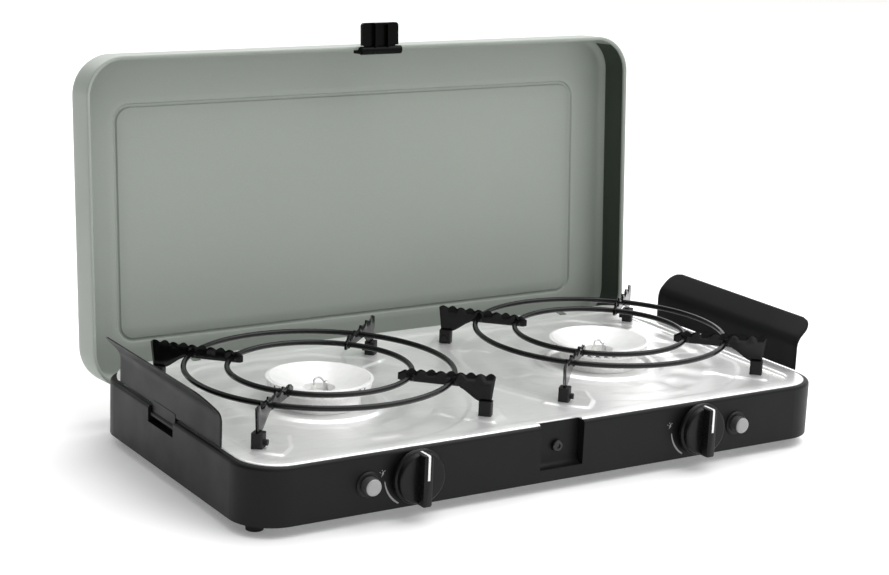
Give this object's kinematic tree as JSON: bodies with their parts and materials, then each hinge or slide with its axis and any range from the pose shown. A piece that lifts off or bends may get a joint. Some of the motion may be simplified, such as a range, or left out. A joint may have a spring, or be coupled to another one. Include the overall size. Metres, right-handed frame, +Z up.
{
  "type": "camping stove",
  "caption": "Portable gas stove: shallow black casing, stainless hob with two ring burners and lift-off pan supports, folding wind guards, push-turn taps and a hinged, latched tray lid",
  "frame": {"origin": "on the ground under the middle of the outline of the stove with its lid open", "axes": "+X to the cook's right along the long side, +Y away from the cook toward the hinge, +Z up"},
  "size_m": [0.5786, 0.3616, 0.3344],
  "materials": {
    "black_coat": "satin fine-texture powder coat",
    "zinc_steel": "dull zinc grey",
    "lid_paint": "satin sage green",
    "stainless_sheet": "bright drawn stainless",
    "steel_fittings": "plain bright steel",
    "black_steel": "black painted",
    "black_enamel": "semi-gloss black enamel",
    "black_rubber": "matt rubber",
    "black_plastic": "satin moulded",
    "bezel_plastic": "satin moulded",
    "grey_plastic": "semi-gloss light grey",
    "cast_aluminium": "fine cast",
    "burner_steel": "bright pressed steel",
    "brass": "machined brass",
    "copper_pipe": "drawn copper tube",
    "ceramic_white": "glazed ceramic",
    "lead_sleeve": "silicone sleeve"
  },
  "bodies": {
    "base": {"base_casing": "black_coat", "bottom_plate": "zinc_steel", "feet": "black_rubber", "hob_plate": "stainless_sheet", "casing_screws": "steel_fittings", "gas_manifold": "copper_pipe", "gas_inlet": "brass", "latch_strike": "black_steel", "hinge_pins": "steel_fittings", "guard_pins": "steel_fittings", "burner_body_left": "cast_aluminium", "burner_port_ring_left": "burner_steel", "burner_dish_left": "burner_steel", "venturi_tube_left": "cast_aluminium", "injector_left": "brass", "valve_body_left": "zinc_steel", "thermocouple_left": "steel_fittings", "electrode_insulator_left": "ceramic_white", "electrode_wire_left": "steel_fittings", "ignition_lead_left": "lead_sleeve", "igniter_body_left": "bezel_plastic", "hinge_bracket_left": "steel_fittings", "burner_body_right": "cast_aluminium", "burner_port_ring_right": "burner_steel", "burner_dish_right": "burner_steel", "venturi_tube_right": "cast_aluminium", "injector_right": "brass", "valve_body_right": "zinc_steel", "thermocouple_right": "steel_fittings", "electrode_insulator_right": "ceramic_white", "electrode_wire_right": "steel_fittings", "ignition_lead_right": "lead_sleeve", "igniter_body_right": "bezel_plastic", "hinge_bracket_right": "steel_fittings"},
    "lid": {"lid_shell": "lid_paint", "lid_hinge_arm_left": "black_steel", "lid_hinge_arm_right": "black_steel", "latch_bracket": "black_steel", "latch_pin": "steel_fittings"},
    "latch": {"latch_flap": "black_plastic"},
    "guard_left": {"wind_guard_left": "black_coat"},
    "tap_plug_left": {"valve_plug_left": "brass"},
    "knob_left": {"knob_left": "black_plastic", "valve_spindle_left": "steel_fittings", "spindle_spring_left": "steel_fittings"},
    "igniter_button_left": {"igniter_button_left": "grey_plastic"},
    "trivet_left": {"trivet_outer_ring_left": "black_enamel", "trivet_inner_ring_left": "black_enamel", "trivet_arms_left": "black_enamel", "trivet_boots_left": "black_rubber"},
    "guard_right": {"wind_guard_right": "black_coat"},
    "tap_plug_right": {"valve_plug_right": "brass"},
    "knob_right": {"knob_right": "black_plastic", "valve_spindle_right": "steel_fittings", "spindle_spring_right": "steel_fittings"},
    "igniter_button_right": {"igniter_button_right": "grey_plastic"},
    "trivet_right": {"trivet_outer_ring_right": "black_enamel", "trivet_inner_ring_right": "black_enamel", "trivet_arms_right": "black_enamel", "trivet_boots_right": "black_rubber"}
  },
  "joints": [
    {"name": "lid_hinge", "type": "hinge", "parent": "base", "child": "lid", "pos_m": [0, 0.1113, 0.0422], "axis": [-1, 0, 0], "range_deg": [-94, 0]},
    {"name": "latch_pivot", "type": "hinge", "parent": "lid", "child": "latch", "pos_m": [0, 0.13886, 0.31023], "axis": [-1, 0, 0], "range_deg": [-90, 0]},
    {"name": "guard_fold_left", "type": "hinge", "parent": "base", "child": "guard_left", "pos_m": [-0.2713, -0.0215, 0.0485], "axis": [0, -1, 0], "range_deg": [0, 118.1]},
    {"name": "tap_turn_left", "type": "hinge", "parent": "base", "child": "tap_plug_left", "pos_m": [-0.136, -0.1615, 0.0337], "axis": [0, -1, 0], "range_deg": [0, 180]},
    {"name": "knob_push_left", "type": "slide", "parent": "tap_plug_left", "child": "knob_left", "axis": [0, 1, 0], "range_m": [0, 0.003], "stiffness_N_per_m": 1500, "deforming": ["spindle_spring_left"]},
    {"name": "igniter_press_left", "type": "slide", "parent": "base", "child": "igniter_button_left", "axis": [0, 1, 0], "range_m": [0, 0.006], "stiffness_N_per_m": 1200},
    {"name": "trivet_lift_left", "type": "slide", "parent": "base", "child": "trivet_left", "axis": [0, 0, 1], "range_m": [0, 0.06]},
    {"name": "guard_fold_right", "type": "hinge", "parent": "base", "child": "guard_right", "pos_m": [0.2713, -0.0215, 0.0485], "axis": [0, 1, 0], "range_deg": [0, 118.1]},
    {"name": "tap_turn_right", "type": "hinge", "parent": "base", "child": "tap_plug_right", "pos_m": [0.136, -0.1615, 0.0337], "axis": [0, -1, 0], "range_deg": [0, 180]},
    {"name": "knob_push_right", "type": "slide", "parent": "tap_plug_right", "child": "knob_right", "axis": [0, 1, 0], "range_m": [0, 0.003], "stiffness_N_per_m": 1500, "deforming": ["spindle_spring_right"]},
    {"name": "igniter_press_right", "type": "slide", "parent": "base", "child": "igniter_button_right", "axis": [0, 1, 0], "range_m": [0, 0.006], "stiffness_N_per_m": 1200},
    {"name": "trivet_lift_right", "type": "slide", "parent": "base", "child": "trivet_right", "axis": [0, 0, 1], "range_m": [0, 0.06]}
  ],
  "couplings": [
    {"joint": "guard_fold_left", "follows": "lid_hinge", "ratio": -1.2553},
    {"joint": "guard_fold_right", "follows": "lid_hinge", "ratio": -1.2553}
  ]
}
